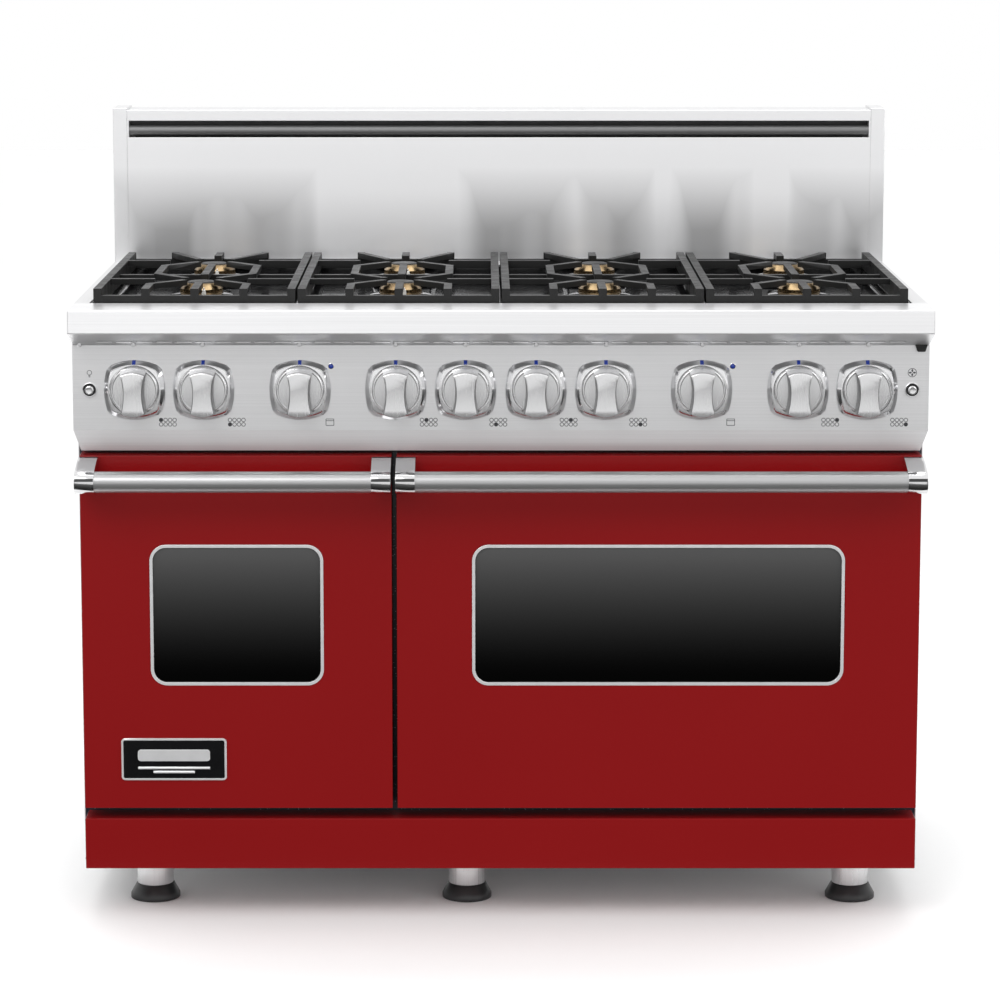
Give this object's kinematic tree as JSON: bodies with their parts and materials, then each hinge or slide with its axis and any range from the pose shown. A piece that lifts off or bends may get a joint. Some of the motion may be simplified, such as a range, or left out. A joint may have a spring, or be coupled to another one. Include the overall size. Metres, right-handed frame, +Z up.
{
  "type": "freestanding gas range",
  "caption": "Wide freestanding gas range with brass burners under cast grates, two drop-down oven doors, turning knobs and a high backguard.",
  "frame": {"origin": "centre of the range's footprint on the floor, under its feet", "axes": "+X along the front to the viewer's right, +Y from the doors to the back, +Z up"},
  "size_m": [1.216, 0.738, 1.141],
  "materials": {
    "red_enamel": "gloss enamel",
    "stainless": "horizontal brush",
    "polished_steel": "polished",
    "cast_iron": "matt black porcelain",
    "black_porcelain": "gloss black porcelain",
    "oven_porcelain": "speckled porcelain",
    "galvanised_steel": "plain mill finish",
    "chrome": "bright",
    "brass": "machined",
    "glass": "dark tinted",
    "lamp_glass": "clear",
    "black_rubber": "matt",
    "black_plastic": "matt",
    "ceramic": "white ceramic",
    "badge_black": "gloss with a bright rim",
    "woven_seal": "woven glass fibre"
  },
  "bodies": {
    "chassis": {"side_panels": "stainless", "back_panel": "galvanised_steel", "base_pan": "galvanised_steel", "front_frame": "oven_porcelain", "kick_panel": "red_enamel", "leg_sleeves": "chrome", "cooktop_deck": "stainless", "landing_ledge": "stainless", "burner_pan": "black_porcelain", "burner_heads": "brass", "burner_caps": "cast_iron", "burner_igniters": "ceramic", "control_panel": "stainless", "control_bezels": "polished_steel", "gas_manifold": "galvanised_steel", "backguard_panel": "stainless", "backguard_bar": "stainless", "oven_liners": "oven_porcelain", "rack_guides": "chrome", "oven_burners": "galvanised_steel", "door_gaskets": "woven_seal", "fan_cover": "oven_porcelain", "fan_motor": "galvanised_steel", "oven_lamps": "lamp_glass"},
    "door_left": {"door_skin_left": "red_enamel", "door_liner_left": "oven_porcelain", "window_panes_left": "glass", "window_trim_left": "polished_steel", "handle_bar_left": "stainless", "handle_posts_left": "polished_steel", "door_hinges_left": "galvanised_steel", "name_badge": "badge_black"},
    "door_right": {"door_skin_right": "red_enamel", "door_liner_right": "oven_porcelain", "window_panes_right": "glass", "window_trim_right": "polished_steel", "handle_bar_right": "stainless", "handle_posts_right": "polished_steel", "door_hinges_right": "galvanised_steel"},
    "knob_1_body": {"knob_1": "polished_steel"},
    "knob_2_body": {"knob_2": "polished_steel"},
    "knob_3_body": {"knob_3": "polished_steel"},
    "knob_4_body": {"knob_4": "polished_steel"},
    "knob_5_body": {"knob_5": "polished_steel"},
    "knob_6_body": {"knob_6": "polished_steel"},
    "knob_7_body": {"knob_7": "polished_steel"},
    "knob_8_body": {"knob_8": "polished_steel"},
    "knob_9_body": {"knob_9": "polished_steel"},
    "knob_10_body": {"knob_10": "polished_steel"},
    "light_button": {"light_switch_button": "stainless"},
    "fan_button": {"fan_switch_button": "stainless"},
    "grate_1_body": {"grate_1": "cast_iron"},
    "grate_2_body": {"grate_2": "cast_iron"},
    "grate_3_body": {"grate_3": "cast_iron"},
    "grate_4_body": {"grate_4": "cast_iron"},
    "rack_left_body": {"rack_left": "chrome"},
    "rack_right_low_body": {"rack_right_low": "chrome"},
    "rack_right_high_body": {"rack_right_high": "chrome"},
    "fan_wheel": {"convection_fan": "stainless"},
    "feet": {"levelling_feet": "black_plastic"}
  },
  "joints": [
    {"name": "door_left_hinge", "type": "hinge", "parent": "chassis", "child": "door_left", "pos_m": [-0.37865, -0.278, 0.175], "axis": [1, 0, 0], "range_deg": [0, 90], "stiffness_Nm_per_rad": 8, "springref_deg": -34.38},
    {"name": "door_right_hinge", "type": "hinge", "parent": "chassis", "child": "door_right", "pos_m": [0.22625, -0.278, 0.175], "axis": [1, 0, 0], "range_deg": [0, 90], "stiffness_Nm_per_rad": 14, "springref_deg": -34.38},
    {"name": "knob_1_turn", "type": "hinge", "parent": "chassis", "child": "knob_1_body", "pos_m": [-0.52, -0.328, 0.778], "axis": [0, -1, 0], "range_deg": [0, 225]},
    {"name": "knob_2_turn", "type": "hinge", "parent": "chassis", "child": "knob_2_body", "pos_m": [-0.422, -0.328, 0.778], "axis": [0, -1, 0], "range_deg": [0, 225]},
    {"name": "knob_3_turn", "type": "hinge", "parent": "chassis", "child": "knob_3_body", "pos_m": [-0.285, -0.328, 0.778], "axis": [0, -1, 0], "range_deg": [0, 285]},
    {"name": "knob_4_turn", "type": "hinge", "parent": "chassis", "child": "knob_4_body", "pos_m": [-0.149, -0.328, 0.778], "axis": [0, -1, 0], "range_deg": [0, 225]},
    {"name": "knob_5_turn", "type": "hinge", "parent": "chassis", "child": "knob_5_body", "pos_m": [-0.05, -0.328, 0.778], "axis": [0, -1, 0], "range_deg": [0, 225]},
    {"name": "knob_6_turn", "type": "hinge", "parent": "chassis", "child": "knob_6_body", "pos_m": [0.05, -0.328, 0.778], "axis": [0, -1, 0], "range_deg": [0, 225]},
    {"name": "knob_7_turn", "type": "hinge", "parent": "chassis", "child": "knob_7_body", "pos_m": [0.149, -0.328, 0.778], "axis": [0, -1, 0], "range_deg": [0, 225]},
    {"name": "knob_8_turn", "type": "hinge", "parent": "chassis", "child": "knob_8_body", "pos_m": [0.285, -0.328, 0.778], "axis": [0, -1, 0], "range_deg": [0, 285]},
    {"name": "knob_9_turn", "type": "hinge", "parent": "chassis", "child": "knob_9_body", "pos_m": [0.422, -0.328, 0.778], "axis": [0, -1, 0], "range_deg": [0, 225]},
    {"name": "knob_10_turn", "type": "hinge", "parent": "chassis", "child": "knob_10_body", "pos_m": [0.52, -0.328, 0.778], "axis": [0, -1, 0], "range_deg": [0, 225]},
    {"name": "light_button_push", "type": "slide", "parent": "chassis", "child": "light_button", "axis": [0, 1, 0], "range_m": [0, 0.003], "stiffness_N_per_m": 400, "springref_m": -0.004},
    {"name": "fan_button_push", "type": "slide", "parent": "chassis", "child": "fan_button", "axis": [0, 1, 0], "range_m": [0, 0.003], "stiffness_N_per_m": 400, "springref_m": -0.004},
    {"name": "grate_1_lift", "type": "slide", "parent": "chassis", "child": "grate_1_body", "axis": [0, 0, 1], "range_m": [0, 0.15]},
    {"name": "grate_2_lift", "type": "slide", "parent": "chassis", "child": "grate_2_body", "axis": [0, 0, 1], "range_m": [0, 0.15]},
    {"name": "grate_3_lift", "type": "slide", "parent": "chassis", "child": "grate_3_body", "axis": [0, 0, 1], "range_m": [0, 0.15]},
    {"name": "grate_4_lift", "type": "slide", "parent": "chassis", "child": "grate_4_body", "axis": [0, 0, 1], "range_m": [0, 0.15]},
    {"name": "rack_left_slide", "type": "slide", "parent": "chassis", "child": "rack_left_body", "axis": [0, -1, 0], "range_m": [0, 0.16]},
    {"name": "rack_right_low_slide", "type": "slide", "parent": "chassis", "child": "rack_right_low_body", "axis": [0, -1, 0], "range_m": [0, 0.16]},
    {"name": "rack_right_high_slide", "type": "slide", "parent": "chassis", "child": "rack_right_high_body", "axis": [0, -1, 0], "range_m": [0, 0.3]},
    {"name": "fan_spin", "type": "hinge", "parent": "chassis", "child": "fan_wheel", "pos_m": [0.22625, 0.217, 0.44], "axis": [0, 1, 0], "continuous": true},
    {"name": "feet_level", "type": "slide", "parent": "chassis", "child": "feet", "axis": [0, 0, -1], "range_m": [0, 0.028]}
  ],
  "couplings": [
    {"joint": "rack_left_slide", "follows": "door_left_hinge", "m_per_rad": 0.08913},
    {"joint": "rack_right_low_slide", "follows": "door_right_hinge", "m_per_rad": 0.08913},
    {"joint": "rack_right_high_slide", "follows": "door_right_hinge", "m_per_rad": 0.17825}
  ]
}
